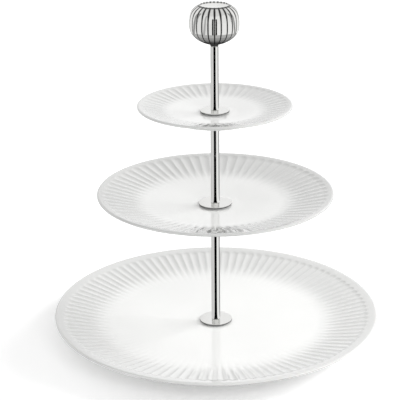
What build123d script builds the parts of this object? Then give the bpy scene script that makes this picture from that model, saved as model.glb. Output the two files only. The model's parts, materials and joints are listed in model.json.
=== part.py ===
from build123d import *
from math import acos, cos, radians, sin
from typing import NamedTuple
import os

os.makedirs("parts", exist_ok=True)

# A three-tier cake stand: porcelain plates clamped on a rod that is made of three screwed
# lengths, with a ribbed knob to carry it by. Millimetres. Z is up along the rod and Z = 0 is
# the table under the bottom plate's foot ring.

# ---------------------------------------------------------------- plates
HOLE_RADIUS = 3.1            # drilled hole in the middle of each plate
FOOT_WIDTH = 5.0             # foot ring, across
FOOT_FLAT = 2.0              # the part of it that touches the table
FOOT_ROUND = 1.0


class Tier(NamedTuple):
    """One plate: heights are above the table, radii are from the rod's axis."""
    name: str
    rim_radius: float        # outermost edge of the lip
    lip_height: float        # middle of the rounded lip
    lip_round: float         # radius of the lip
    well: float              # top of the seat under the collar
    seat_radius: float       # level as far as this
    thickness: float         # of the well
    bend_radius: float       # where the gently rising well turns up into the wall
    wall_slope: float        # degrees
    softness: float          # each change of slope is spread over this, each way
    foot_radius: float       # outer radius of the foot ring
    foot_depth: float        # foot ring below the well's underside
    shoulder: float          # outer side of the foot ring, height

    @property
    def underside(self):
        return self.well - self.thickness

    @property
    def foot(self):
        return self.underside - self.foot_depth


BOTTOM = Tier("bottom", 135.0, 19.0, 1.3, 9.0, 15.0, 4.5, 92.0, 12.1, 8.0, 80.0, 4.5, 5.6)
MIDDLE = Tier("middle", 96.5, 124.8, 1.2, 113.7, 15.0, 4.0, 59.0, 13.7, 6.0, 57.0, 1.7, 4.6)
TOP = Tier("top", 62.2, 198.4, 1.1, 192.6, 13.0, 3.5, 37.5, 11.9, 4.0, 35.0, 1.4, 2.7)
TIERS = (BOTTOM, MIDDLE, TOP)

# ---------------------------------------------------------------- rod, collars and seals
GASKET = 0.8                 # clear silicone ring on each face of a plate
COLLAR = 1.2                 # polished disc that clamps the plate
WASHER = 1.0                 # under the bottom plate
COLLAR_RADIUS = {"bottom": 13.5, "middle": 13.5, "top": 11.8}
GASKET_INSET = 1.0           # the silicone stops short of the disc's edge
BASE_WASHER_RADIUS = 9.0
EDGE_ROUND = 0.3

ROD_RADIUS = 3.6
UPPER_ROD_RADIUS = 3.25

# ---------------------------------------------------------------- M4 threads
STUD_RADIUS = 1.95
BORE_RADIUS = 2.0            # tapped bores, as running fits on the studs
CLEARANCE_RADIUS = 2.2       # discs and seals slip over the studs
STUD_ENGAGEMENT = 8.0
BORE_SPARE = 1.0             # a bore is this much deeper than its stud
SPIGOT_RADIUS = 2.8          # part of the lower gasket that centres the plate
SPIGOT_CLEAR = 0.6           # the spigot stops this far below the upper gasket

HEAD_RADIUS = 4.2            # base screw
HEAD_HEIGHT = 2.2
SOCKET_ACROSS = 2.5
SOCKET_DEPTH = 1.3

# ---------------------------------------------------------------- knob
KNOB_RADIUS = 19.9           # over the ribs
KNOB_WIDEST = 264.5          # height of the widest part
KNOB_UP, KNOB_DOWN = 16.3, 16.6
KNOB_UP_POWER = 3.0          # square shoulders above
KNOB_DOWN_POWER_R, KNOB_DOWN_POWER_Z = 1.45, 2.45
KNOB_WALL = 1.6
KNOB_RIBS = 24
GROOVE_RADIUS = 0.8
GROOVE_DEPTH = 0.55
GROOVE_FROM, GROOVE_TO = 7.5, 13.2   # radii at its lower and upper end
LIP_RADIUS = 12.2            # bead round the opening in the top
LIP_BEAD = 0.55
CAP_RADIUS = LIP_RADIUS - 2 * LIP_BEAD
CAP_THICKNESS = 1.2
CAP_INSET = 0.2              # edge of the cap, below the bead
CAP_DISH = 0.7               # middle of the cap, below its edge
PRESS_GAP = 0.02
NECK_RADIUS = 3.25
ROD_TOP = 247.0              # the neck of the insert stands on the rod here
SHELL_TIP = 4.0              # radius where the shell ends, round the neck
LAND_RADIUS = 8.5            # flat inside the shell that the insert's flange sits on
INSERT_RADIUS = 4.6
FLANGE_RADIUS = 7.0
FLANGE = 2.0
INSERT_LENGTH = 16.0
RUNNING = 0.05               # radial clearance where the shell turns on the insert


def write(part, name):
    """Label a finished piece and write its file."""
    part.label = name
    export_step(part, f"parts/{name}.step")


# ---------------------------------------------------------------- outlines
def plate_outline(tier):
    """Half section of a plate, in the line builder that is open."""
    slope = radians(tier.wall_slope)
    along = Vector(cos(slope), sin(slope))
    across = Vector(-sin(slope), cos(slope))
    soft = tier.softness
    lip = Vector(tier.rim_radius - tier.lip_round, tier.lip_height)
    lip_top = lip + across * tier.lip_round
    lip_under = lip - across * tier.lip_round
    bend = lip_top - along * ((lip_top.X - tier.bend_radius) / cos(slope))
    seat = Vector(tier.seat_radius + soft, tier.well)
    rise = (bend - seat).normalized()
    shoulder = tier.foot + tier.shoulder
    outer = tier.foot_radius
    inner = outer - FOOT_WIDTH
    # the eating side, from the hole outwards
    Line((HOLE_RADIUS, tier.well), (tier.seat_radius, tier.well))
    Bezier((tier.seat_radius, tier.well), seat, seat + rise * soft)
    Line(seat + rise * soft, bend - rise * soft)
    Bezier(bend - rise * soft, bend, bend + along * soft)
    Line(bend + along * soft, lip_top)
    ThreePointArc(lip_top, lip + along * tier.lip_round, lip_under)
    # the underside, back to the hole
    Bezier(
        lip_under,
        bend - across * tier.thickness,
        (outer + 9 * FOOT_ROUND, shoulder + FOOT_ROUND),
        (outer + FOOT_ROUND, shoulder),
    )
    Line((outer + FOOT_ROUND, shoulder), (outer, tier.foot + FOOT_ROUND))
    RadiusArc((outer, tier.foot + FOOT_ROUND), (outer - FOOT_ROUND, tier.foot), FOOT_ROUND)
    Line((outer - FOOT_ROUND, tier.foot), (outer - FOOT_ROUND - FOOT_FLAT, tier.foot))
    Line((outer - FOOT_ROUND - FOOT_FLAT, tier.foot), (inner, tier.underside))
    Line((inner, tier.underside), (HOLE_RADIUS, tier.underside))
    Line((HOLE_RADIUS, tier.underside), (HOLE_RADIUS, tier.well))


def knob_height(turn, inset):
    """Superellipse that the knob's side follows, square-shouldered above and tapered below."""
    if turn >= 0:
        return KNOB_WIDEST + (KNOB_UP - inset) * sin(turn) ** (2 / KNOB_UP_POWER)
    return KNOB_WIDEST - (KNOB_DOWN - inset) * sin(-turn) ** (2 / KNOB_DOWN_POWER_Z)


def knob_side(low_radius, high_radius, inset=0.0, count=9):
    """Points up the knob's side, from a radius under it to a radius on its top."""
    size = KNOB_RADIUS - inset
    low_turn = acos((low_radius / size) ** (KNOB_DOWN_POWER_R / 2))
    high_turn = acos((high_radius / size) ** (KNOB_UP_POWER / 2))
    lower = [-low_turn * (1 - i / count) for i in range(count)]
    upper = [high_turn * i / count for i in range(count + 1)]
    points = [(size * cos(t) ** (2 / KNOB_DOWN_POWER_R), knob_height(t, inset)) for t in lower]
    points += [(size * cos(t) ** (2 / KNOB_UP_POWER), knob_height(t, inset)) for t in upper]
    return points


# ---------------------------------------------------------------- heights in the stack
def collar_top(tier):
    return tier.well + GASKET + COLLAR


def support_bottom(tier):
    return tier.underside - GASKET - COLLAR


SIDE = knob_side(SHELL_TIP, LIP_RADIUS)
SHELL_BOTTOM = SIDE[0][1]
LIP_HEIGHT = SIDE[-1][1]
INSIDE = knob_side(LAND_RADIUS, CAP_RADIUS, KNOB_WALL)
LAND = INSIDE[0][1]
WASHER_BOTTOM = BOTTOM.underside - GASKET - WASHER


# ---------------------------------------------------------------- turned pieces
def disc(name, low, height, radius, hole, edge=EDGE_ROUND):
    """Flat ring with rounded outer edges, standing on a height."""
    with BuildPart() as ring:
        with BuildSketch(Plane.XY.offset(low)):
            Circle(radius)
            Circle(hole, mode=Mode.SUBTRACT)
        extrude(amount=height)
        if edge:
            fillet(ring.edges().filter_by(GeomType.CIRCLE).group_by(SortBy.RADIUS)[-1], edge)
    write(ring.part, name)


def lower_gasket(name, tier, radius):
    """Ring under a plate, with a spigot that centres the plate's hole on the stud."""
    with BuildPart() as gasket:
        with BuildSketch(Plane.XY.offset(tier.underside - GASKET)):
            Circle(radius)
        extrude(amount=GASKET)
        with BuildSketch(Plane.XY.offset(tier.underside)):
            Circle(SPIGOT_RADIUS)
        extrude(amount=tier.thickness - SPIGOT_CLEAR)
        with BuildSketch(Plane.XY.offset(tier.underside - GASKET)):
            Circle(CLEARANCE_RADIUS)
        extrude(amount=GASKET + tier.thickness, mode=Mode.SUBTRACT)
    write(gasket.part, name)


def rod(name, radius, low, high):
    """One length of the rod, tapped at both ends."""
    with BuildPart() as length:
        with BuildSketch(Plane.XY.offset(low)):
            Circle(radius)
        extrude(amount=high - low)
        chamfer(length.edges().filter_by(GeomType.CIRCLE), EDGE_ROUND)
        for end, inward in ((low, 1), (high, -1)):
            with BuildSketch(Plane.XY.offset(end)):
                Circle(BORE_RADIUS)
            extrude(amount=inward * (STUD_ENGAGEMENT + BORE_SPARE), mode=Mode.SUBTRACT)
    write(length.part, name)


def stud(name, low, high):
    with BuildPart() as pin:
        with BuildSketch(Plane.XY.offset(low)):
            Circle(STUD_RADIUS)
        extrude(amount=high - low)
        chamfer(pin.edges().filter_by(GeomType.CIRCLE), EDGE_ROUND)
    write(pin.part, name)


# ---------------------------------------------------------------- plates
for tier in TIERS:
    with BuildPart() as plate:
        with BuildSketch(Plane.XZ):
            with BuildLine():
                plate_outline(tier)
            make_face()
        revolve(axis=Axis.Z)
    write(plate.part, f"{tier.name}_plate")

# ---------------------------------------------------------------- rods, studs and clamping discs
rod("lower_rod", ROD_RADIUS, collar_top(BOTTOM), support_bottom(MIDDLE))
rod("middle_rod", ROD_RADIUS, collar_top(MIDDLE), support_bottom(TOP))
rod("upper_rod", UPPER_ROD_RADIUS, collar_top(TOP), ROD_TOP)

for tier, collar_name in zip(TIERS, ("lower_collar", "middle_collar", "upper_collar")):
    size = COLLAR_RADIUS[tier.name]
    disc(collar_name, tier.well + GASKET, COLLAR, size, CLEARANCE_RADIUS)
    disc(f"{tier.name}_gasket_upper", tier.well, GASKET, size - GASKET_INSET, CLEARANCE_RADIUS, 0)

for tier, level in ((MIDDLE, "middle"), (TOP, "upper")):
    size = COLLAR_RADIUS[tier.name]
    low = support_bottom(tier)
    disc(f"{level}_support_washer", low, COLLAR, size, CLEARANCE_RADIUS)
    lower_gasket(f"{tier.name}_gasket_lower", tier, size - GASKET_INSET)
    stud(f"{level}_stud", low - STUD_ENGAGEMENT, collar_top(tier) + STUD_ENGAGEMENT)

disc("base_washer", WASHER_BOTTOM, WASHER, BASE_WASHER_RADIUS, CLEARANCE_RADIUS)
lower_gasket("bottom_gasket_lower", BOTTOM, BASE_WASHER_RADIUS - GASKET_INSET)
stud("knob_stud", ROD_TOP - STUD_ENGAGEMENT, ROD_TOP + STUD_ENGAGEMENT)

# ---------------------------------------------------------------- socket screw under the base
with BuildPart() as base_screw:
    with BuildSketch(Plane.XY.offset(WASHER_BOTTOM - HEAD_HEIGHT)):
        Circle(HEAD_RADIUS)
    extrude(amount=HEAD_HEIGHT)
    fillet(base_screw.edges().group_by(Axis.Z)[0], EDGE_ROUND)
    with BuildSketch(Plane.XY.offset(WASHER_BOTTOM)):
        Circle(STUD_RADIUS)
    extrude(amount=collar_top(BOTTOM) + STUD_ENGAGEMENT - WASHER_BOTTOM)
    chamfer(base_screw.edges().group_by(Axis.Z)[-1], EDGE_ROUND)
    with BuildSketch(Plane.XY.offset(WASHER_BOTTOM - HEAD_HEIGHT)):
        RegularPolygon(SOCKET_ACROSS / 2, 6, major_radius=False)
    extrude(amount=SOCKET_DEPTH, mode=Mode.SUBTRACT)
write(base_screw.part, "base_screw")

# ---------------------------------------------------------------- knob
# The groove between two ribs: a round bar bent along the side, standing mostly outside it.
with BuildPart() as groove:
    with BuildLine(Plane.XZ) as groove_path:
        Spline(*knob_side(GROOVE_FROM, GROOVE_TO, GROOVE_DEPTH - GROOVE_RADIUS))
    with BuildSketch(Plane(groove_path.line @ 0, z_dir=groove_path.line % 0)):
        Circle(GROOVE_RADIUS)
    sweep(path=groove_path.line)

with BuildPart() as knob_body:
    with BuildSketch(Plane.XZ):
        with BuildLine():
            Spline(*SIDE)
            ThreePointArc(SIDE[-1], (LIP_RADIUS - LIP_BEAD, LIP_HEIGHT + LIP_BEAD), (CAP_RADIUS, LIP_HEIGHT))
            Line((CAP_RADIUS, LIP_HEIGHT), INSIDE[-1])
            Spline(*INSIDE)
            Line(INSIDE[0], (NECK_RADIUS + RUNNING, LAND))
            Line((NECK_RADIUS + RUNNING, LAND), (NECK_RADIUS + RUNNING, SHELL_BOTTOM))
            Line((NECK_RADIUS + RUNNING, SHELL_BOTTOM), SIDE[0])
        make_face()
    revolve(axis=Axis.Z)
    with PolarLocations(0, KNOB_RIBS):
        add(groove.part, mode=Mode.SUBTRACT)
write(knob_body.part, "knob_body")

with BuildPart() as knob_cap:
    cap_edge = CAP_RADIUS - PRESS_GAP
    cap_top = LIP_HEIGHT - CAP_INSET
    dish = (cap_edge ** 2 + CAP_DISH ** 2) / (2 * CAP_DISH)
    with BuildSketch(Plane.XY.offset(cap_top - CAP_DISH - CAP_THICKNESS)):
        Circle(cap_edge)
    extrude(amount=CAP_DISH + CAP_THICKNESS)
    with Locations((0, 0, cap_top - CAP_DISH + dish)):
        Sphere(dish, mode=Mode.SUBTRACT)
write(knob_cap.part, "knob_cap")

with BuildPart() as knob_insert:
    with BuildSketch(Plane.XY.offset(ROD_TOP)):
        Circle(NECK_RADIUS)
    extrude(amount=LAND - ROD_TOP)
    with BuildSketch(Plane.XY.offset(LAND)):
        Circle(FLANGE_RADIUS)
    extrude(amount=FLANGE)
    with BuildSketch(Plane.XY.offset(LAND)):
        Circle(INSERT_RADIUS)
    extrude(amount=ROD_TOP + INSERT_LENGTH - LAND)
    with BuildSketch(Plane.XY.offset(ROD_TOP)):
        Circle(BORE_RADIUS)
    extrude(amount=STUD_ENGAGEMENT + BORE_SPARE, mode=Mode.SUBTRACT)
write(knob_insert.part, "knob_insert")
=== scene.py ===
import json
from math import cos, pi, radians, sin, sqrt
from typing import NamedTuple

import bpy
import numpy as np
from mathutils import Matrix, Vector


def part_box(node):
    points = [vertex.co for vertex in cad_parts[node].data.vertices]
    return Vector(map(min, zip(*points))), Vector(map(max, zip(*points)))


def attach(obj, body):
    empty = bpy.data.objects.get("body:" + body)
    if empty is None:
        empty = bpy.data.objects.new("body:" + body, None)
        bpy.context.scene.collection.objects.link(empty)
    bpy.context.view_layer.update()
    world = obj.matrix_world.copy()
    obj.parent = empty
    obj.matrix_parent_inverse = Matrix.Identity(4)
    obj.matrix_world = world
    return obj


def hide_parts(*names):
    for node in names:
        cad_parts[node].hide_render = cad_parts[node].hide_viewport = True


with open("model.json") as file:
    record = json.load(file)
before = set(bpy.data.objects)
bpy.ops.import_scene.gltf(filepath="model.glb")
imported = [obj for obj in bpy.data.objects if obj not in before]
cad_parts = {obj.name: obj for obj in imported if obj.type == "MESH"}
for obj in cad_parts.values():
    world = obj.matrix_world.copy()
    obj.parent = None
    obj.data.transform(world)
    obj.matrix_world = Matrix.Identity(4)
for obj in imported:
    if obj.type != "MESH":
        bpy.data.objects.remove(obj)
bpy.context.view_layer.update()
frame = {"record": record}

MM = 0.001
SHARP_ANGLE = 38             # degrees: edges sharper than this stay crisp


def top_of(node):
    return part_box(node)[1].z


def bottom_of(node):
    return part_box(node)[0].z


def radius_of(node):
    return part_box(node)[1].x


def body_of(node):
    """The moving body that a node belongs to."""
    bodies = frame["record"]["behaviour"]["bodies"]
    return next(body for body, nodes in bodies.items() if node in nodes)


def add_object(name, mesh):
    made = bpy.data.objects.new(name, mesh)
    bpy.context.scene.collection.objects.link(made)
    return made


# ---------------------------------------------------------------- meshes of revolution
# A section is a list of (distance from the axis, height) points.
def straight(a, b, count):
    """Points from a up to b, without b."""
    a, b = np.array(a), np.array(b)
    return [tuple(a + (b - a) * i / count) for i in range(count)]


def chain(*stops):
    """Straight runs through points that are given in turn with the count between them."""
    points = []
    for start, count, stop in zip(stops[0::2], stops[1::2], stops[2::2]):
        points += straight(start, stop, count)
    return points


def bent(a, corner, b, count):
    """Quadratic curve from a to b that is drawn towards a corner, without b."""
    a, corner, b = (np.array(p, float) for p in (a, corner, b))
    ts = [i / count for i in range(count)]
    return [tuple(a * (1 - t) ** 2 + 2 * corner * t * (1 - t) + b * t * t) for t in ts]


def cubic(a, b, c, d, count):
    """Cubic curve from a to d with b and c as its handles, without d."""
    a, b, c, d = (np.array(p, float) for p in (a, b, c, d))
    ts = [i / count for i in range(count)]
    return [tuple(a * (1 - t) ** 3 + 3 * b * t * (1 - t) ** 2 + 3 * c * t * t * (1 - t) + d * t ** 3)
            for t in ts]


def arc(centre, radius, start, stop, count):
    """Points on a circle from one angle to another, in degrees, without the last."""
    turns = [radians(start + (stop - start) * i / count) for i in range(count)]
    return [(centre[0] + radius * cos(t), centre[1] + radius * sin(t)) for t in turns]


def ring_grid(section, columns, shape=None):
    """Points of a section turned about Z. shape(radii, heights, turns) may change them."""
    radii, heights = (np.array(v, float)[:, None] for v in zip(*section))
    turns = (np.arange(columns) * 2 * pi / columns)[None, :]
    radii, heights = np.broadcast_arrays(radii + 0 * turns, heights + 0 * turns)
    if shape:
        radii, heights = shape(radii, heights, turns)
    return np.stack([radii * np.cos(turns), radii * np.sin(turns), heights], axis=-1)


def turned(name, node, section, material, columns=96, shape=None, closed=True):
    """A solid of revolution in place of a CAD node. An open section starts and ends on the axis."""
    grid = ring_grid(section, columns, shape)
    rows = len(section)
    if closed:
        points = grid.reshape(-1, 3)
        index = np.arange(rows * columns).reshape(rows, columns)
        loop = np.vstack([index, index[:1]])
    else:
        middle = grid[1:-1]
        points = np.vstack([middle.reshape(-1, 3), grid[0, 0], grid[-1, 0]])
        loop = np.arange((rows - 2) * columns).reshape(rows - 2, columns)
    wrap = np.hstack([loop, loop[:, :1]])
    quads = np.stack([wrap[:-1, :-1], wrap[:-1, 1:], wrap[1:, 1:], wrap[1:, :-1]], axis=-1)
    faces = [tuple(quad) for quad in quads.reshape(-1, 4).tolist()]
    if not closed:
        first, last = len(points) - 2, len(points) - 1
        faces += [(first, int(b), int(a)) for a, b in zip(wrap[0, :-1], wrap[0, 1:])]
        faces += [(last, int(a), int(b)) for a, b in zip(wrap[-1, :-1], wrap[-1, 1:])]
    mesh = bpy.data.meshes.new(name)
    mesh.from_pydata(points.tolist(), [], faces)
    mesh.update()
    mesh.shade_smooth()
    mesh.set_sharp_from_angle(angle=radians(SHARP_ANGLE))
    mesh.materials.append(material)
    piece = add_object(name, mesh)
    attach(piece, body_of(node))
    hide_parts(node)
    return piece


# ---------------------------------------------------------------- node materials
STEEL = (0.78, 0.78, 0.765)
SMEAR_LIGHTER = 1.04         # smears on the metal, against its own colour
SMEAR_ROUGHER = 1.7          # and against its own roughness
KNOB_RIBS = 24
# Shade painted dark along each groove of the knob. Widths are shares of the spacing between ribs.
GROOVE_SHADE_TINT = (0.07, 0.07, 0.068)
GROOVE_SHADE_ROUGHNESS = 0.2      # added to the metal's own
GROOVE_SHADE_CORE = 0.12          # the painted shade is full over this width
GROOVE_SHADE_WIDTH = 0.24         # and gone past this one
GROOVE_SHADE_WIDTH_AT_LIP = 0.6
GROOVE_SHADE_WIDENS = (270 * MM, 279 * MM)        # heights between which it widens to that
# A ring of painted shade lies against the outside of the lip's bead.
BEAD_SHADE_STRENGTH = 0.9
BEAD_SHADE_BEGINS = (11.7 * MM, 12.1 * MM)
BEAD_SHADE_ENDS = (12.5 * MM, 13.6 * MM)
BEAD_SHADE_ABOVE = (276 * MM, 277 * MM)


def new_material(name):
    """A material with the default Principled shader, and its node tree."""
    material = bpy.data.materials.new(name)
    material.use_nodes = True
    return material, material.node_tree


def feed(tree, socket, value):
    """Sets an input to a number, a colour or what another node puts out."""
    if isinstance(value, bpy.types.NodeSocket):
        tree.links.new(value, socket)
    elif socket.type == "RGBA":
        socket.default_value = (*value, 1)
    else:
        socket.default_value = value


def add(tree, kind, inputs, **settings):
    """Adds a node and feeds its inputs."""
    made = tree.nodes.new(kind)
    for key, value in settings.items():
        setattr(made, key, value)
    for key, value in inputs.items():
        feed(tree, made.inputs[key], value)
    return made


def shade(tree, inputs):
    """Feeds the Principled shader."""
    shader = tree.nodes["Principled BSDF"]
    for key, value in inputs.items():
        feed(tree, shader.inputs[key], value)


def calculate(tree, operation, *values):
    return add(tree, "ShaderNodeMath", dict(enumerate(values)), operation=operation).outputs[0]


def ramp(tree, factor, low, high):
    """Maps a 0 to 1 factor onto a range."""
    made = add(tree, "ShaderNodeMapRange", {"Value": factor, "To Min": low, "To Max": high})
    return made.outputs["Result"]


def fade(tree, value, between, before, after):
    """Smooth change from one number to another as a value passes between two others."""
    start, stop = between
    inputs = {"Value": value, "From Min": start, "From Max": stop, "To Min": before, "To Max": after}
    return add(tree, "ShaderNodeMapRange", inputs, interpolation_type="SMOOTHSTEP").outputs["Result"]


def colour_mix(tree, factor, low, high):
    inputs = {"Factor": factor, "A": low, "B": high}
    return add(tree, "ShaderNodeMix", inputs, data_type="RGBA").outputs["Result"]


def bump(tree, height, strength, distance, after=None):
    inputs = {"Height": height, "Strength": strength, "Distance": distance}
    if after:
        inputs["Normal"] = after
    return add(tree, "ShaderNodeBump", inputs).outputs["Normal"]


def noise(tree, vector, scale, detail=3.0):
    inputs = {"Vector": vector, "Scale": scale, "Detail": detail}
    return add(tree, "ShaderNodeTexNoise", inputs, noise_dimensions="3D").outputs["Fac"]


def tool_marks(tree, along, scale):
    """Noise that changes along one coordinate only."""
    inputs = {"W": along, "Scale": scale, "Detail": 4.0}
    return add(tree, "ShaderNodeTexNoise", inputs, noise_dimensions="1D").outputs["Fac"]


def object_space(tree):
    return add(tree, "ShaderNodeTexCoord", {}).outputs["Object"]


def coordinates(tree, space):
    return add(tree, "ShaderNodeSeparateXYZ", {0: space}).outputs


def along_axis(tree, space):
    """Height above the table: rings round a rod."""
    return coordinates(tree, space)["Z"]


def from_axis(tree, space):
    """Distance from the rod's axis: rings on a disc."""
    level = add(tree, "ShaderNodeVectorMath", {0: space, 1: (1, 1, 0)}, operation="MULTIPLY")
    length = add(tree, "ShaderNodeVectorMath", {0: level.outputs["Vector"]}, operation="LENGTH")
    return length.outputs["Value"]


def glazed_porcelain(plate):
    """White glaze: mirror-smooth with a slow ripple and a few pinholes, with shade painted darker over the
    flutes and on each plate's well by its own amount.
    """
    material, tree = new_material(f"glazed_{plate.node}")
    space = object_space(tree)
    slow = noise(tree, space, 26.0)
    fine = noise(tree, space, 190.0, 4.0)
    glaze = colour_mix(tree, slow, (0.82, 0.824, 0.812), (0.85, 0.85, 0.84))
    fluted = (plate.bend_radius - plate.softness, plate.bend_radius + 2 * plate.softness)
    # painted shade: the glaze is darkened over the flutes, and on each plate's well by its own amount
    painted_shade = fade(tree, from_axis(tree, space), fluted, plate.well_painted_shade, plate.flute_painted_shade)
    shaded_glaze = add(tree, "ShaderNodeVectorMath", {0: glaze, "Scale": painted_shade}, operation="SCALE")
    ripple = bump(tree, slow, 0.25, 0.0004)
    shade(tree, {
        "Base Color": shaded_glaze.outputs["Vector"],
        "Roughness": ramp(tree, fine, 0.05, 0.11),
        "Normal": bump(tree, fine, 0.06, 0.0001, ripple),
        "IOR": 1.52,
        "Coat Weight": 1.0,
        "Coat Roughness": 0.03,
    })
    return material


def bare_porcelain():
    """Unglazed foot ring: matt, a little warmer and finely grained."""
    material, tree = new_material("bare_porcelain")
    grain = noise(tree, object_space(tree), 900.0, 5.0)
    shade(tree, {
        "Base Color": colour_mix(tree, grain, (0.72, 0.7, 0.66), (0.84, 0.82, 0.78)),
        "Roughness": ramp(tree, grain, 0.62, 0.85),
        "Normal": bump(tree, grain, 0.5, 0.0001),
    })
    return material


def smeared(tree, space, tint, roughness, rougher):
    """Colour and roughness of polished metal with soft smears from handling."""
    smears = noise(tree, space, 70.0)
    light = tuple(min(1.0, c * SMEAR_LIGHTER) for c in tint)
    return colour_mix(tree, smears, tint, light), ramp(tree, smears, roughness, rougher)


def polished_metal(name, lay, tint, roughness, lay_scale, lay_depth):
    """Polished steel with smears, and faint tool marks along one coordinate."""
    material, tree = new_material(name)
    space = object_space(tree)
    marks = tool_marks(tree, lay(tree, space), lay_scale)
    colour, polish = smeared(tree, space, tint, roughness, roughness * SMEAR_ROUGHER)
    shade(tree, {
        "Base Color": colour,
        "Roughness": polish,
        "Normal": bump(tree, marks, 0.3, lay_depth),
        "Metallic": 1.0,
    })
    return material


def wave_at_edge(width):
    """Value of the wave that the painted groove shade is made from, at the edge of shade this wide."""
    return cos(pi * width / 2)


def painted_groove_shade(tree, space):
    """How much painted shade there is: full in the middle of each groove, and nearly so round the bead."""
    x, y, height = coordinates(tree, space)
    turn = calculate(tree, "ARCTAN2", y, x)
    wave = calculate(tree, "COSINE", calculate(tree, "MULTIPLY", turn, KNOB_RIBS / 2))
    wave = calculate(tree, "ABSOLUTE", wave)
    edge = fade(tree, height, GROOVE_SHADE_WIDENS, wave_at_edge(GROOVE_SHADE_WIDTH),
                wave_at_edge(GROOVE_SHADE_WIDTH_AT_LIP))
    groove_shade = fade(tree, wave, (edge, wave_at_edge(GROOVE_SHADE_CORE)), 0.0, 1.0)
    radius = from_axis(tree, space)
    # painted shade in a ring round the outside of the lip's bead
    begun = fade(tree, radius, BEAD_SHADE_BEGINS, 0.0, BEAD_SHADE_STRENGTH)
    ring = calculate(tree, "MULTIPLY", begun, fade(tree, radius, BEAD_SHADE_ENDS, 1.0, 0.0))
    ring = calculate(tree, "MULTIPLY", ring, fade(tree, height, BEAD_SHADE_ABOVE, 0.0, 1.0))
    return calculate(tree, "MAXIMUM", groove_shade, ring)


def ribbed_metal():
    """Polished steel of the knob, with shade painted dark into each groove and round the bead."""
    material, tree = new_material("polished_ribbed_knob")
    space = object_space(tree)
    groove_shade = painted_groove_shade(tree, space)
    metal, polish = smeared(tree, space, STEEL, 0.035, 0.06)
    marks = tool_marks(tree, along_axis(tree, space), 5000.0)
    shade(tree, {
        # painted shade: the base colour turns dark in each groove and round the bead
        "Base Color": colour_mix(tree, groove_shade, metal, GROOVE_SHADE_TINT),
        "Roughness": calculate(tree, "MULTIPLY_ADD", groove_shade, GROOVE_SHADE_ROUGHNESS, polish),
        "Normal": bump(tree, marks, 0.3, 0.000003),
        "Metallic": 1.0,
    })
    return material


def clear_silicone():
    """Translucent rubber: milky, soft-edged and slightly dusty."""
    material, tree = new_material("clear_silicone")
    dust = noise(tree, object_space(tree), 600.0, 4.0)
    shade(tree, {
        "Base Color": colour_mix(tree, dust, (0.78, 0.79, 0.78), (0.88, 0.89, 0.88)),
        "Roughness": ramp(tree, dust, 0.28, 0.5),
        "Normal": bump(tree, dust, 0.3, 0.0001),
        "Transmission Weight": 0.3,
        "IOR": 1.41,
    })
    return material


biscuit = bare_porcelain()
rod_metal = polished_metal("polished_rod", along_axis, STEEL, 0.045, 9000.0, 0.000004)
disc_metal = polished_metal("polished_disc", from_axis, STEEL, 0.06, 7000.0, 0.000006)
knob_metal = ribbed_metal()
satin_metal = polished_metal("satin_steel", from_axis, (0.6, 0.6, 0.59), 0.24, 4000.0, 0.00002)
silicone = clear_silicone()


# ---------------------------------------------------------------- plates
class Plate(NamedTuple):
    """The numbers of a plate that its CAD box doesn't give, in metres."""
    node: str
    seal: str                # the ring on the well, which gives the well's height
    under_seal: str          # the ring below, which gives the underside's
    lip_round: float
    seat_radius: float       # flat seat of the clamping disc
    bend_radius: float       # where the well turns up into the wall
    wall_slope: float        # degrees
    softness: float          # reach of the bends either side
    foot_radius: float
    shoulder: float          # height of the foot ring outside
    flutes: int
    flute_columns: int       # columns of mesh to each flute
    flute_end: float         # outer end of the flutes, from the rod's axis
    flute_depth: float
    well_painted_shade: float         # painted shade: how white the glaze is left on the well
    flute_painted_shade: float        # and over the flutes


FOOT_WIDTH = 5.0 * MM
FOOT_FLAT = 2.0 * MM
FOOT_ROUND = 1.0 * MM
FOOT_FLARE = 9.0 * MM        # how far outside the foot the underside turns down to it
HOLE_RADIUS = 3.1 * MM
FLUTE_TIP = 8.0 * MM         # stretch of wall with closer rows, for the flutes' round ends
FLUTE_START = 0.6            # how far before the bend the flutes begin, of its softness
FLUTE_GROWTH = 3.2           # length over which they deepen, of the bend's softness
FLUTE_SOFTENING = 0.16       # rounding of their edges, of their depth

PLATES = (
    Plate(node="bottom_plate", seal="bottom_gasket_upper", under_seal="bottom_gasket_lower",
          lip_round=1.3 * MM, seat_radius=15 * MM, bend_radius=92 * MM, wall_slope=12.1, softness=8 * MM,
          foot_radius=80 * MM, shoulder=5.6 * MM, flutes=104, flute_columns=9, flute_end=127.5 * MM,
          flute_depth=0.7 * MM, well_painted_shade=0.99, flute_painted_shade=0.8),
    Plate(node="middle_plate", seal="middle_gasket_upper", under_seal="middle_gasket_lower",
          lip_round=1.2 * MM, seat_radius=15 * MM, bend_radius=59 * MM, wall_slope=13.7, softness=6 * MM,
          foot_radius=57 * MM, shoulder=4.6 * MM, flutes=66, flute_columns=12, flute_end=92 * MM,
          flute_depth=0.65 * MM, well_painted_shade=0.87, flute_painted_shade=0.69),
    Plate(node="top_plate", seal="top_gasket_upper", under_seal="top_gasket_lower",
          lip_round=1.1 * MM, seat_radius=13 * MM, bend_radius=37.5 * MM, wall_slope=11.9, softness=4 * MM,
          foot_radius=35 * MM, shoulder=2.7 * MM, flutes=52, flute_columns=12, flute_end=59 * MM,
          flute_depth=0.45 * MM, well_painted_shade=0.92, flute_painted_shade=0.72),
)


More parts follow.
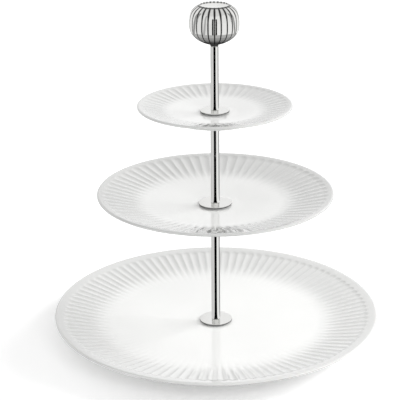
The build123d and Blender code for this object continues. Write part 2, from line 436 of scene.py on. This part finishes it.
def plate_section(plate):
    """Closed half section of a plate, from its hole over the eating side and back underneath."""
    slope = radians(plate.wall_slope)
    along = np.array((cos(slope), sin(slope)))
    across = np.array((-sin(slope), cos(slope)))
    well = bottom_of(plate.seal)
    gasket = top_of(plate.seal) - well
    underside = bottom_of(plate.under_seal) + gasket
    foot = bottom_of(plate.node)
    lip = np.array((radius_of(plate.node) - plate.lip_round, top_of(plate.node) - plate.lip_round))
    lip_top = lip + across * plate.lip_round
    lip_under = lip - across * plate.lip_round
    bend = lip_top - along * ((lip_top[0] - plate.bend_radius) / cos(slope))
    soft = plate.softness
    seat = np.array((plate.seat_radius + soft, well))
    rise = (bend - seat) / np.linalg.norm(bend - seat)
    shoulder = foot + plate.shoulder
    outer = plate.foot_radius
    flute_tip = bend + along * ((plate.flute_end - plate.bend_radius) / cos(slope))
    rounding = flute_tip - along * FLUTE_TIP
    points = straight((HOLE_RADIUS, well), (plate.seat_radius, well), 3)
    points += bent((plate.seat_radius, well), seat, seat + rise * soft, 5)
    points += straight(seat + rise * soft, bend - rise * soft, 8)
    wall_from = len(points)
    points += bent(bend - rise * soft, bend, bend + along * soft, 10)
    points += chain(bend + along * soft, 12, rounding, 14, flute_tip)
    wall_to = len(points)
    points += straight(flute_tip, lip_top, 3)
    points += arc(lip, plate.lip_round, 90 + plate.wall_slope, plate.wall_slope - 90, 11)
    thickness = well - underside
    points += cubic(lip_under, bend - across * thickness, (outer + FOOT_FLARE, shoulder + FOOT_ROUND),
                    (outer + FOOT_ROUND, shoulder), 12)
    points += straight((outer + FOOT_ROUND, shoulder), (outer, foot + FOOT_ROUND), 3)
    points += arc((outer - FOOT_ROUND, foot + FOOT_ROUND), FOOT_ROUND, 0, -90, 4)
    foot_from = len(points)
    inner_flat = outer - FOOT_ROUND - FOOT_FLAT
    points += straight((outer - FOOT_ROUND, foot), (inner_flat, foot), 2)
    foot_to = len(points)
    points += chain((inner_flat, foot), 3, (outer - FOOT_WIDTH, underside), 4,
                    (HOLE_RADIUS, underside), 2, (HOLE_RADIUS, well))
    return points, (wall_from, wall_to), (foot_from, foot_to)


def fluting(plate, wall):
    """Shape function that scoops the flutes out of the wall: round-ended outside, fading inside."""
    slope = radians(plate.wall_slope)

    def shape(radii, heights, turns):
        across = (turns * plate.flutes / (2 * pi)) % 1 * 2 - 1
        half_width = pi * plate.flute_end / plate.flutes
        begin = plate.bend_radius - plate.softness * FLUTE_START
        grow = np.clip((radii - begin) / (plate.softness * FLUTE_GROWTH), 0, 1)
        grow = grow * grow * (3 - 2 * grow)
        end = np.clip(1 - (plate.flute_end - radii) / half_width, 0, 3)
        scoop = grow - across ** 2 - end ** 2
        depth = plate.flute_depth * (scoop + np.sqrt(scoop ** 2 + FLUTE_SOFTENING ** 2)) / 2
        on_wall = np.zeros_like(radii)
        on_wall[wall[0]:wall[1]] = 1
        depth = depth * on_wall
        return radii + depth * sin(slope), heights - depth * cos(slope)

    return shape


for plate in PLATES:
    section, wall, foot_rows = plate_section(plate)
    columns = plate.flutes * plate.flute_columns
    piece = turned(f"{plate.node}_fluted", plate.node, section, glazed_porcelain(plate),
                   columns, fluting(plate, wall))
    piece.data.materials.append(biscuit)
    bare = np.zeros(len(piece.data.polygons), np.int32)
    bare[foot_rows[0] * columns:foot_rows[1] * columns] = 1
    piece.data.polygons.foreach_set("material_index", bare)


# ---------------------------------------------------------------- polished knob
KNOB_RADIUS = 19.9 * MM      # over the ribs
KNOB_WIDEST = 264.5 * MM
KNOB_UP, KNOB_DOWN = 16.3 * MM, 16.6 * MM    # to where the sides would meet the axis
# Powers of the superellipses above and below the widest place.
KNOB_UP_POWER = 3.0
KNOB_DOWN_POWER_R, KNOB_DOWN_POWER_Z = 1.45, 2.45
KNOB_WALL = 1.6 * MM
RIB_COLUMNS = 24
RIB_CROWN = 0.02             # rise of a rib, of the spacing between ribs
GROOVE_DEPTH = 0.16          # of the spacing between ribs
GROOVE_WIDTH = 0.22          # of half the spacing, on each side
GROOVE_POWER = 1.4           # how the groove deepens towards its middle
LIP_RADIUS = 12.2 * MM
LIP_BEAD = 0.55 * MM         # radius of the bead round the lip
SHELL_TIP = 4.0 * MM         # radius where the side starts, below
NECK_BORE = 3.3 * MM
LAND_RADIUS = 8.5 * MM       # flat land inside, which the bush's flange holds up
LAND_HEIGHT = 3.2 * MM
FLANGE_THICKNESS = 2.0 * MM
BARREL_RADIUS = 4.6 * MM


def knob_side(low_radius, high_radius, inset, count):
    """Points up the knob's side: square-shouldered above its widest place, tapered below."""
    size = KNOB_RADIUS - inset
    low_turn = np.arccos((low_radius / size) ** (KNOB_DOWN_POWER_R / 2))
    high_turn = np.arccos((high_radius / size) ** (KNOB_UP_POWER / 2))
    points = []
    for i in range(count):
        t = low_turn * (1 - i / count)
        drop = (KNOB_DOWN - inset) * sin(t) ** (2 / KNOB_DOWN_POWER_Z)
        points.append((size * cos(t) ** (2 / KNOB_DOWN_POWER_R), KNOB_WIDEST - drop))
    for i in range(count + 1):
        t = high_turn * i / count
        climb = (KNOB_UP - inset) * sin(t) ** (2 / KNOB_UP_POWER)
        points.append((size * cos(t) ** (2 / KNOB_UP_POWER), KNOB_WIDEST + climb))
    return points


def left_of_section(radii, heights):
    """Unit vectors square to a section, pointing to its left as it runs."""
    along_r, along_z = np.gradient(radii, axis=0), np.gradient(heights, axis=0)
    length = np.hypot(along_r, along_z)
    return -along_z / length, along_r / length


def knob_shell():
    """Thin ribbed shell, open below round the bush and above inside the bead."""
    side = knob_side(SHELL_TIP, LIP_RADIUS, 0, 34)
    inside = knob_side(LAND_RADIUS, LIP_RADIUS - 2 * LIP_BEAD, KNOB_WALL, 14)
    lip_height = side[-1][1]
    points = side[:-1]
    points += arc((LIP_RADIUS - LIP_BEAD, lip_height), LIP_BEAD, 0, 180, 12)
    points += straight((LIP_RADIUS - 2 * LIP_BEAD, lip_height), inside[-1], 2)
    points += inside[::-1]
    points += chain((NECK_BORE, inside[0][1]), 3, (NECK_BORE, side[0][1]), 2, side[0])
    ribbed = np.zeros((len(points), 1))
    ribbed[:len(side) - 1] = 1

    def ribs(radii, heights, turns):
        across = np.abs((turns * KNOB_RIBS / (2 * pi)) % 1 * 2 - 1)
        groove = np.clip((across - 1 + GROOVE_WIDTH) / GROOVE_WIDTH, 0, 1)
        sunk = RIB_CROWN * across ** 2 + GROOVE_DEPTH * groove ** GROOVE_POWER
        depth = sunk * 2 * pi / KNOB_RIBS * radii * ribbed
        left_r, left_z = left_of_section(radii, heights)
        return radii + depth * left_r, heights + depth * left_z

    turned("knob_ribbed_shell", "knob_body", points, knob_metal,
           KNOB_RIBS * RIB_COLUMNS, ribs)


def knob_disc():
    """Dished disc pressed into the lip."""
    edge = radius_of("knob_cap")
    low, high = bottom_of("knob_cap"), top_of("knob_cap")
    dish = 0.7 * MM
    rounding = 0.15 * MM
    sphere = (edge ** 2 + dish ** 2) / (2 * dish)
    steps = np.linspace(0, edge - rounding, 14)
    points = [(r, high - dish + sphere - sqrt(sphere ** 2 - r ** 2)) for r in steps]
    points += arc((edge - rounding, high - rounding), rounding, 90, 0, 4)
    points += [(edge, low + rounding), (edge - rounding, low), (edge / 2, low), (0, low)]
    turned("knob_dished_disc", "knob_cap", points[::-1], disc_metal, closed=False)


# ---------------------------------------------------------------- rods, discs and seals
BORE_RADIUS = 2.0 * MM
BORE_DEPTH = 9.0 * MM
BORE_POINT = 1.0 * MM        # depth of the drill's point
AXIS_GAP = 0.3 * MM          # how near the axis that point comes
CLEARANCE_RADIUS = 2.2 * MM
SPIGOT_RADIUS = 2.8 * MM
DISC_ROUNDING = 0.3 * MM
WASHER_ROUNDING = 0.2 * MM


def rod_length(node, name):
    """One length of the rod, with a bore in each end and a fine bevel on each edge."""
    radius, low, high = radius_of(node), bottom_of(node), top_of(node)
    bevel = 0.25 * MM
    points = chain((radius - bevel, low), 2, (radius, low + bevel), 24, (radius, high - bevel), 2,
                   (radius - bevel, high), 2, (BORE_RADIUS, high), 3, (BORE_RADIUS, high - BORE_DEPTH))
    points += [(AXIS_GAP, high - BORE_DEPTH - BORE_POINT), (AXIS_GAP, low + BORE_DEPTH + BORE_POINT)]
    points += chain((BORE_RADIUS, low + BORE_DEPTH), 3, (BORE_RADIUS, low), 2, (radius - bevel, low))
    turned(name, node, points, rod_metal)


def clamp_disc(node, name, material, rounding):
    """Turned disc with softly rounded edges and a hole for the stud."""
    radius, low, high = radius_of(node), bottom_of(node), top_of(node)
    points = straight((CLEARANCE_RADIUS, low), (radius - rounding, low), 6)
    points += arc((radius - rounding, low + rounding), rounding, -90, 0, 6)
    points += straight((radius, low + rounding), (radius, high - rounding), 2)
    points += arc((radius - rounding, high - rounding), rounding, 0, 90, 6)
    points += chain((radius - rounding, high), 8, (CLEARANCE_RADIUS, high), 2, (CLEARANCE_RADIUS, low))
    turned(name, node, points, material, 144)


def seal(node, name, thickness, spigot):
    """Silicone ring whose edge is squeezed into a bulge, with or without a spigot above."""
    radius, low, high = radius_of(node), bottom_of(node), top_of(node)
    flat = low + thickness
    bulge = thickness / 2
    points = straight((CLEARANCE_RADIUS, low), (radius - bulge, low), 4)
    points += arc((radius - bulge, low + bulge), bulge, -90, 90, 10)
    if spigot:
        points += chain((radius - bulge, flat), 4, (SPIGOT_RADIUS, flat), 3, (SPIGOT_RADIUS, high), 2,
                        (CLEARANCE_RADIUS, high))
    else:
        points += straight((radius - bulge, flat), (CLEARANCE_RADIUS, flat), 4)
    points += straight((CLEARANCE_RADIUS, high), (CLEARANCE_RADIUS, low), 3)
    turned(name, node, points, silicone)


# ---------------------------------------------------------------- threads
THREAD_PITCH = 0.7 * MM
THREAD_DEPTH = 0.35 * MM
THREAD_ROWS = 8              # rows of mesh to each turn of the thread
FLANK_SLOPE, FLANK_OFFSET = 1.5, 0.25        # leave a flat at the crest and one at the root
RUN_OUT = 1.2 * THREAD_DEPTH


def thread_cut(heights, turns, low, high, tapered_low):
    """Depth of an M4 thread below its crest, with its ends run down to the root."""
    phase = (heights / THREAD_PITCH - turns / (2 * pi)) % 1
    depth = THREAD_DEPTH * np.clip(np.abs(phase * 2 - 1) * FLANK_SLOPE - FLANK_OFFSET, 0, 1)
    end = np.clip(1 - (high - heights) / RUN_OUT, 0, 1)
    if tapered_low:
        end = np.maximum(end, np.clip(1 - (heights - low) / RUN_OUT, 0, 1))
    return np.maximum(depth, THREAD_DEPTH * end)


def threaded_stud(node, name):
    """Stud with a thread from end to end."""
    radius, low, high = radius_of(node), bottom_of(node), top_of(node)
    rows = int((high - low) / THREAD_PITCH * THREAD_ROWS)
    points = [(0, low), (radius / 2, low)]
    points += straight((radius, low), (radius, high), rows)
    points += [(radius, high), (radius / 2, high), (0, high)]
    threaded = np.zeros((len(points), 1))
    threaded[2:-2] = 1

    def thread(radii, heights, turns):
        return radii - threaded * thread_cut(heights, turns, low, high, True), heights

    turned(name, node, points, satin_metal, 36, thread, closed=False)


def socket_screw(node, name):
    """Low-headed screw: a hexagon socket below, and the thread that holds the column."""
    head_radius, low, high = radius_of(node), bottom_of(node), top_of(node)
    head_top = bottom_of("base_washer")
    shank = radius_of("knob_stud")
    socket_depth = 1.3 * MM
    socket_bevel = 0.4 * MM
    half_across = 1.25 * MM
    bevel = 0.3 * MM
    corner = half_across / cos(pi / 6)
    rows = int((high - head_top) / THREAD_PITCH * THREAD_ROWS)
    points = [(0, low + socket_depth), (corner, low + socket_depth), (corner, low)]
    hexagonal = slice(1, 3)
    points += straight((corner + socket_bevel, low), (head_radius - bevel, low), 3)
    points += arc((head_radius - bevel, low + bevel), bevel, -90, 0, 5)
    points += chain((head_radius, low + bevel), 3, (head_radius, head_top), 2, (shank, head_top))
    first_thread = len(points)
    points += straight((shank, head_top), (shank, high), rows)
    points += [(shank, high), (shank / 2, high), (0, high)]
    threaded = np.zeros((len(points), 1))
    threaded[first_thread:-2] = 1

    def form(radii, heights, turns):
        radii = radii - threaded * thread_cut(heights, turns, head_top, high, False)
        flat = half_across / np.cos((turns + pi / 6) % (pi / 3) - pi / 6)
        radii[hexagonal] = flat
        return radii, heights

    turned(name, node, points, satin_metal, 48, form, closed=False)


def knob_bush(node, name):
    """Insert the knob turns on: its neck stands on the rod and its flange is inside the shell."""
    neck, flange, barrel = radius_of("upper_rod"), radius_of(node), BARREL_RADIUS
    low, high = bottom_of(node), top_of(node)
    land = bottom_of("knob_body") + LAND_HEIGHT
    flange_top = land + FLANGE_THICKNESS
    bevel = 0.2 * MM
    points = chain((neck - bevel, low), 2, (neck, low + bevel), 4, (neck, land), 3, (flange, land), 2,
                   (flange, flange_top), 2, (barrel, flange_top), 4, (barrel, high), 3, (AXIS_GAP, high))
    points += [(AXIS_GAP, low + BORE_DEPTH + BORE_POINT)]
    points += chain((BORE_RADIUS, low + BORE_DEPTH), 3, (BORE_RADIUS, low), 2, (neck - bevel, low))
    turned(name, node, points, rod_metal)


knob_shell()
knob_disc()
knob_bush("knob_insert", "knob_neck_bush")
threaded_stud("knob_stud", "knob_threaded_stud")

for level in ("lower", "middle", "upper"):
    rod_length(f"{level}_rod", f"{level}_rod_length")
    clamp_disc(f"{level}_collar", f"{level}_collar_disc", disc_metal, DISC_ROUNDING)

for level in ("middle", "upper"):
    clamp_disc(f"{level}_support_washer", f"{level}_support_disc", disc_metal,
               DISC_ROUNDING)
    threaded_stud(f"{level}_stud", f"{level}_threaded_stud")

GASKET = top_of("bottom_gasket_upper") - bottom_of("bottom_gasket_upper")
for tier in ("bottom", "middle", "top"):
    seal(f"{tier}_gasket_upper", f"{tier}_upper_seal", GASKET, False)
    seal(f"{tier}_gasket_lower", f"{tier}_lower_seal", GASKET, True)

clamp_disc("base_washer", "base_washer_disc", satin_metal, WASHER_ROUNDING)
socket_screw("base_screw", "base_socket_screw")


# ---------------------------------------------------------------- studio
def floor():
    """White table, lit a little from inside like a light table."""
    material, tree = new_material("pale_floor")
    shade(tree, {
        "Base Color": (0.93, 0.93, 0.93),
        "Roughness": 0.9,
        "Specular IOR Level": 0.0,
        "Emission Color": (1, 1, 1),
        "Emission Strength": FLOOR_GLOW,
    })
    mesh = bpy.data.meshes.new("floor")
    corners = [(x * FLOOR_REACH, y * FLOOR_REACH, 0) for x, y in ((-1, -1), (1, -1), (1, 1), (-1, 1))]
    mesh.from_pydata(corners, [], [(0, 1, 2, 3)])
    mesh.materials.append(material)
    sheet = add_object("floor", mesh)


def mirror_card(name, grey):
    """Grey that is seen from its front only, so nothing behind it loses its reflections."""
    material, tree = new_material(name)
    tree.nodes.clear()
    front = add(tree, "ShaderNodeEmission", {"Color": (grey, grey, grey)}).outputs[0]
    back = add(tree, "ShaderNodeBsdfTransparent", {}).outputs[0]
    from_behind = add(tree, "ShaderNodeNewGeometry", {}).outputs["Backfacing"]
    sides = add(tree, "ShaderNodeMixShader", {0: from_behind, 1: front, 2: back}).outputs[0]
    add(tree, "ShaderNodeOutputMaterial", {0: sides})
    return material


def card_ring(name, sectors, inner, outer):
    """Cards round the stand that only mirrors see, between two edges of (radius, height)."""
    points, faces, owners = [], [], []
    for number, (start, stop, _) in enumerate(sectors):
        steps = max(2, int((stop - start) / CARD_STEP))
        for i in range(steps):
            here, there = (radians(start + (stop - start) * (i + k) / steps) for k in (0, 1))
            first = len(points)
            for (radius, height), turn in ((inner, here), (outer, here), (outer, there), (inner, there)):
                points.append((radius * sin(turn), -radius * cos(turn), height))
            faces.append((first, first + 1, first + 2, first + 3))
            owners.append(number)
    mesh = bpy.data.meshes.new(name)
    mesh.from_pydata(points, [], faces)
    for number, (_, _, grey) in enumerate(sectors):
        mesh.materials.append(mirror_card(f"{name}_{number}", grey))
    mesh.polygons.foreach_set("material_index", owners)
    ring = add_object(name, mesh)
    ring.visible_camera = False
    ring.visible_diffuse = False
    ring.visible_shadow = False
    ring.visible_transmission = False


def even_ring(name, grey, inner, outer):
    """A ring of cards in one grey."""
    card_ring(name, ((-180, 180, grey),), inner, outer)


class Softbox(NamedTuple):
    """A soft light. Azimuth 0 is to the right and 90 is behind, in degrees."""
    name: str
    azimuth: float
    elevation: float
    width: float
    height: float
    power: float             # watts


def area_light(box):
    """Hangs a softbox so that it faces the stand. Mirrors see the cards instead of it."""
    data = bpy.data.lights.new(box.name, "AREA")
    data.shape = "RECTANGLE"
    data.size, data.size_y = box.width, box.height
    data.energy = box.power
    lamp = add_object(box.name, data)
    turn, lift = radians(box.azimuth), radians(box.elevation)
    away = Vector((cos(turn) * cos(lift), sin(turn) * cos(lift), sin(lift)))
    aim = Vector((0, 0, top_of("knob_body") / 2))
    lamp.location = aim + away * LIGHT_DISTANCE
    lamp.rotation_euler = away.to_track_quat("Z", "Y").to_euler()
    lamp.visible_glossy = False


def soft_world():
    """Even white light from all round."""
    world = bpy.data.worlds.new("soft_world")
    world.use_nodes = True
    background = world.node_tree.nodes["Background"]
    background.inputs["Color"].default_value = (1, 1, 1, 1)
    background.inputs["Strength"].default_value = WORLD_STRENGTH
    bpy.context.scene.world = world


def product_camera():
    """The photo's view: a little above the stand, looking down at it."""
    data = bpy.data.cameras.new("camera")
    data.sensor_width = CAMERA_SENSOR
    data.lens = CAMERA_LENS
    camera = add_object("camera", data)
    camera.location = CAMERA_PLACE
    tilt = Matrix.Rotation(radians(90 - CAMERA_DOWN), 3, "X")
    camera.rotation_euler = (tilt @ Matrix.Rotation(radians(CAMERA_ROLL), 3, "Z")).to_euler()
    bpy.context.scene.camera = camera


CAMERA_PLACE = (-0.0125, -1.074, 0.520)
CAMERA_DOWN, CAMERA_ROLL = 20.54, -0.55      # degrees
CAMERA_SENSOR, CAMERA_LENS = 36.0, 126.0     # millimetres
FLOOR_REACH, FLOOR_GLOW = 9.0, 0.21
WORLD_STRENGTH = 0.66
LIGHT_DISTANCE = 1.7
SOFTBOXES = (
    Softbox("key_softbox", azimuth=18, elevation=27, width=1.2, height=0.5, power=25),
    Softbox("back_softbox", azimuth=125, elevation=24, width=1.2, height=0.5, power=3),
    Softbox("front_softbox", azimuth=290, elevation=30, width=1.2, height=0.7, power=7),
)

CARD_STEP = 6                # degrees, about, that a card's flat pieces cover
CARD_GAP = 0.1 * MM          # between a card and what it lies on
WALL_DISTANCE, WALL_HEIGHT = 3.0, 3.4
# Greys that the polished metal reflects. A sector is (start, stop, grey), in degrees from the
# camera's side, positive to the right.
NEAR_CARDS = ((-180, -100, 0.66), (-100, -31, 0.74), (-31, 31, 0.0), (31, 95, 1.0), (95, 180, 0.4))
LEFT_CARDS = ((-180, -104, 0.95), (-104, -84, 0.35), (-84, -48, 0.9), (-48, -34, 0.5))
RIGHT_CARDS = ((84, 100, 0.35), (100, 180, 1.0))
FAR_CARDS = LEFT_CARDS + ((-34, 84, 0.95),) + RIGHT_CARDS
CEILING_GREY = 0.8
EDGE_GREY = 0.12             # the dark line round each clamping disc
EDGE_REACH = 8 * MM
# For the knob: a skirt of cards just under it, and a black flag in front of it.
KNOB_CARDS = LEFT_CARDS + ((-34, -8, 0.9), (-8, 8, 0.0), (8, 84, 1.0)) + RIGHT_CARDS
SKIRT_HEIGHT = 247.2 * MM
SKIRT_REACH = 700 * MM
SKIRT_RINGS = ((11 * MM, 0.05), (15 * MM, 0.2), (21 * MM, 0.34), (32 * MM, 0.5))     # outer edge, grey
FLAG_CARDS = ((-8, 8, 0.0),)
FLAG_DISTANCE, FLAG_TOP = 60 * MM, 291 * MM

floor()
soft_world()
for box in SOFTBOXES:
    area_light(box)

card_ring("floor_cards", NEAR_CARDS, (0, CARD_GAP), (WALL_DISTANCE, CARD_GAP))
card_ring("wall_cards", FAR_CARDS, (WALL_DISTANCE, CARD_GAP), (WALL_DISTANCE, WALL_HEIGHT))
even_ring("ceiling_cards", CEILING_GREY, (WALL_DISTANCE, WALL_HEIGHT), (0, WALL_HEIGHT))

skirt_edge = 0
for number, (reach, grey) in enumerate(SKIRT_RINGS):
    even_ring(f"skirt_cards_{number}", grey, (skirt_edge, SKIRT_HEIGHT), (reach, SKIRT_HEIGHT))
    skirt_edge = reach
card_ring("skirt_far_cards", KNOB_CARDS, (skirt_edge, SKIRT_HEIGHT), (SKIRT_REACH, SKIRT_HEIGHT))
card_ring("knob_flag", FLAG_CARDS, (FLAG_DISTANCE, SKIRT_HEIGHT), (FLAG_DISTANCE, FLAG_TOP))

for level, plate in zip(("lower", "middle", "upper"), PLATES):
    collar = f"{level}_collar"
    edge = radius_of(collar)
    well = bottom_of(plate.seal) + CARD_GAP
    card_ring(f"{level}_plate_cards", NEAR_CARDS, (0, top_of(collar) + CARD_GAP),
              (radius_of(plate.node), top_of(plate.node) + CARD_GAP))
    even_ring(f"{level}_edge_cards", EDGE_GREY, (edge, well), (edge + EDGE_REACH, well))

product_camera()
bpy.context.scene.view_settings.view_transform = "Standard"
